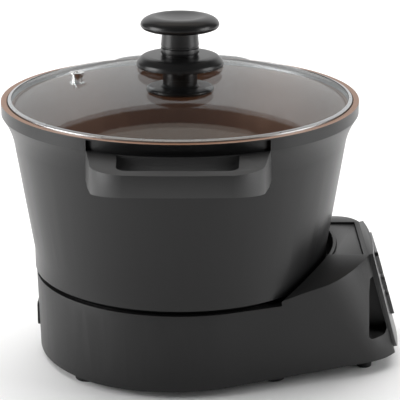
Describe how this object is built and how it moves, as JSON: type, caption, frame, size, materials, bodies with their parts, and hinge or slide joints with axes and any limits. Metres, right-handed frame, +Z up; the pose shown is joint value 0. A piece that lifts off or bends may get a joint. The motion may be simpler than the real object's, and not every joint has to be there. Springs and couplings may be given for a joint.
{
  "type": "slow cooker",
  "caption": "Countertop slow cooker: round heating base with a leaning control tower, lift-off pot with loop handles and domed glass lid.",
  "frame": {"origin": "middle of the footprint on the worktop", "axes": "+Z up, +X towards the control panel, +Y towards the rear handle; the pot's axis is at X = -18.2 mm"},
  "size_m": [0.3204, 0.3774, 0.276],
  "materials": {
    "shell_black": "fine satin moulding texture",
    "cover_black": "matt",
    "rubber_black": "matt rubber",
    "screw_steel": "zinc plated",
    "plate_aluminium": "machined casting",
    "element_steel": "oxidised sheath",
    "silicone_grey": "soft silicone",
    "shield_steel": "bright sheet",
    "sensor_aluminium": "spun cap",
    "spring_steel": "drawn wire",
    "fuse_white": "glazed ceramic",
    "board_green": "solder mask",
    "relay_blue": "moulded case",
    "transformer_yellow": "wound coil in tape",
    "inlet_black": "moulded",
    "blade_brass": "plated",
    "lead_white": "sleeved wire",
    "fascia_black": "satin fascia",
    "display_black": "smoked window",
    "display_grey": "module",
    "switch_black": "moulded",
    "key_black": "satin key",
    "pot_black": "satin coating outside, bronze non-stick inside and over the rim",
    "handle_black": "satin coating",
    "lid_glass": "tempered clear glass",
    "band_steel": "rolled steel",
    "vent_steel": "bright eyelet",
    "silicone_black": "soft silicone",
    "knob_black": "satin phenolic"
  },
  "bodies": {
    "base": {"base_housing": "shell_black", "tray_insert": "shell_black", "bottom_cover": "cover_black", "base_feet": "rubber_black", "tower_feet": "rubber_black", "cover_screws": "screw_steel", "heater_plate": "plate_aluminium", "heating_element": "element_steel", "plate_gasket": "silicone_grey", "heat_shield": "shield_steel", "sensor_spring": "spring_steel", "sensor_bracket": "shield_steel", "thermal_fuse": "fuse_white", "fuse_clip": "shield_steel", "power_board": "board_green", "board_pillars": "cover_black", "power_relay": "relay_blue", "transformer": "transformer_yellow", "power_inlet": "inlet_black", "inlet_blades": "blade_brass", "mains_leads": "lead_white", "control_fascia": "fascia_black", "display_window": "display_black", "display_module": "display_grey", "control_board": "board_green", "panel_pillars": "fascia_black", "board_screws": "screw_steel", "tact_switches": "switch_black"},
    "pot": {"pot_body": "pot_black", "front_handle": "handle_black", "rear_handle": "handle_black", "handle_studs": "screw_steel"},
    "lid": {"glass_lid": "lid_glass", "lid_rim_band": "band_steel", "steam_vent": "vent_steel", "outer_washer": "silicone_black", "knob_flange": "knob_black", "lid_knob": "knob_black", "inner_washer": "silicone_black", "inner_knob": "knob_black", "knob_screw": "screw_steel"},
    "sensor": {"sensor_cap": "sensor_aluminium"},
    "upper_key1": {"upper_key1": "key_black"},
    "upper_key2": {"upper_key2": "key_black"},
    "upper_key3": {"upper_key3": "key_black"},
    "lower_key1": {"lower_key1": "key_black"},
    "lower_key2": {"lower_key2": "key_black"},
    "lower_key3": {"lower_key3": "key_black"}
  },
  "joints": [
    {"name": "pot_lift", "type": "slide", "parent": "base", "child": "pot", "axis": [0, 0, 1], "range_m": [0, 0.16]},
    {"name": "lid_lift", "type": "slide", "parent": "pot", "child": "lid", "axis": [0, 0, 1], "range_m": [0, 0.12]},
    {"name": "sensor_press", "type": "slide", "parent": "base", "child": "sensor", "axis": [0, 0, -1], "range_m": [0, 0.002], "stiffness_N_per_m": 800, "springref_m": -0.002, "deforming": ["sensor_spring"]},
    {"name": "upper_key1_press", "type": "slide", "parent": "base", "child": "upper_key1", "axis": [-0.9613, 0, -0.2756], "range_m": [0, 0.0008], "stiffness_N_per_m": 1500, "springref_m": -0.0004},
    {"name": "upper_key2_press", "type": "slide", "parent": "base", "child": "upper_key2", "axis": [-0.9613, 0, -0.2756], "range_m": [0, 0.0008], "stiffness_N_per_m": 1500, "springref_m": -0.0004},
    {"name": "upper_key3_press", "type": "slide", "parent": "base", "child": "upper_key3", "axis": [-0.9613, 0, -0.2756], "range_m": [0, 0.0008], "stiffness_N_per_m": 1500, "springref_m": -0.0004},
    {"name": "lower_key1_press", "type": "slide", "parent": "base", "child": "lower_key1", "axis": [-0.9613, 0, -0.2756], "range_m": [0, 0.0008], "stiffness_N_per_m": 1500, "springref_m": -0.0004},
    {"name": "lower_key2_press", "type": "slide", "parent": "base", "child": "lower_key2", "axis": [-0.9613, 0, -0.2756], "range_m": [0, 0.0008], "stiffness_N_per_m": 1500, "springref_m": -0.0004},
    {"name": "lower_key3_press", "type": "slide", "parent": "base", "child": "lower_key3", "axis": [-0.9613, 0, -0.2756], "range_m": [0, 0.0008], "stiffness_N_per_m": 1500, "springref_m": -0.0004}
  ]
}
